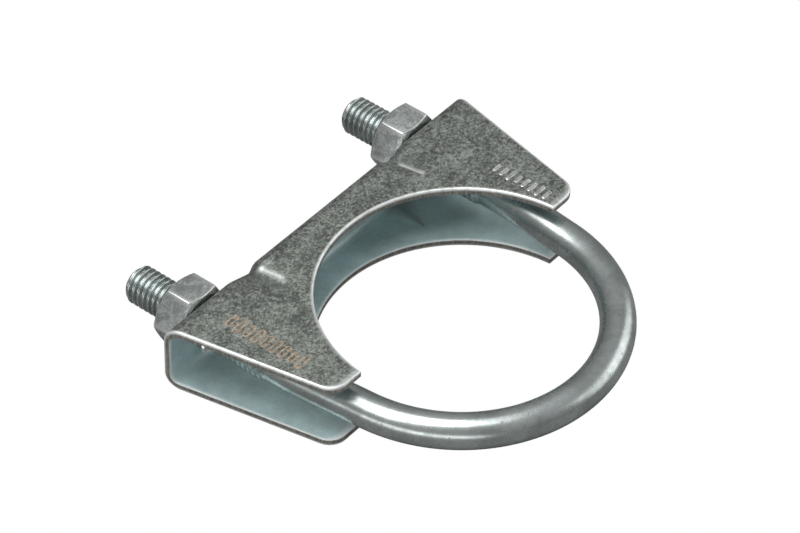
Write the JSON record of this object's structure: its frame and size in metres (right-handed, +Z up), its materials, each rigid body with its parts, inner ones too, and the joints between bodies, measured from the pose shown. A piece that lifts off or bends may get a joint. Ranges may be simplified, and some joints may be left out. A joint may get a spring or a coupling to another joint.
{
  "type": "u-bolt pipe clamp",
  "caption": "Zinc-plated U-bolt with a pressed channel saddle and hex nuts, clamping a 52 mm pipe by its M8 threaded legs.",
  "frame": {"origin": "centre of the bounding box in X and Y, at the outer face of the lower flange, which the clamp lies on", "axes": "+X across the two legs, +Y along the legs from the bow to the nuts, +Z up along the axis of the clamped pipe"},
  "size_m": [0.0886, 0.0874, 0.0152],
  "materials": {
    "zinc_rod": "bright zinc plate, glossy on the bow",
    "zinc_sheet": "mottled grey zinc plate, satin",
    "zinc_nut": "zinc plate, semi-gloss"
  },
  "bodies": {
    "u_bolt": {"u_bolt": "zinc_rod"},
    "saddle": {"saddle": "zinc_sheet"},
    "nut_left": {"nut_left": "zinc_nut"},
    "nut_right": {"nut_right": "zinc_nut"}
  },
  "joints": [
    {"name": "saddle_slide", "type": "slide", "parent": "u_bolt", "child": "saddle", "axis": [0, 1, 0], "range_m": [-0.00187, 0.00999]},
    {"name": "nut_left_turn", "type": "hinge", "parent": "saddle", "child": "nut_left", "pos_m": [-0.0325, 0.0298, 0.0076], "axis": [0, 1, 0], "range_deg": [-540, 2880]},
    {"name": "nut_right_turn", "type": "hinge", "parent": "saddle", "child": "nut_right", "pos_m": [0.0325, 0.0298, 0.0076], "axis": [0, 1, 0], "range_deg": [-540, 2880]}
  ],
  "couplings": [
    {"joint": "nut_left_turn", "follows": "saddle_slide", "rad_per_m": 5026.5},
    {"joint": "nut_right_turn", "follows": "saddle_slide", "rad_per_m": 5026.5}
  ]
}
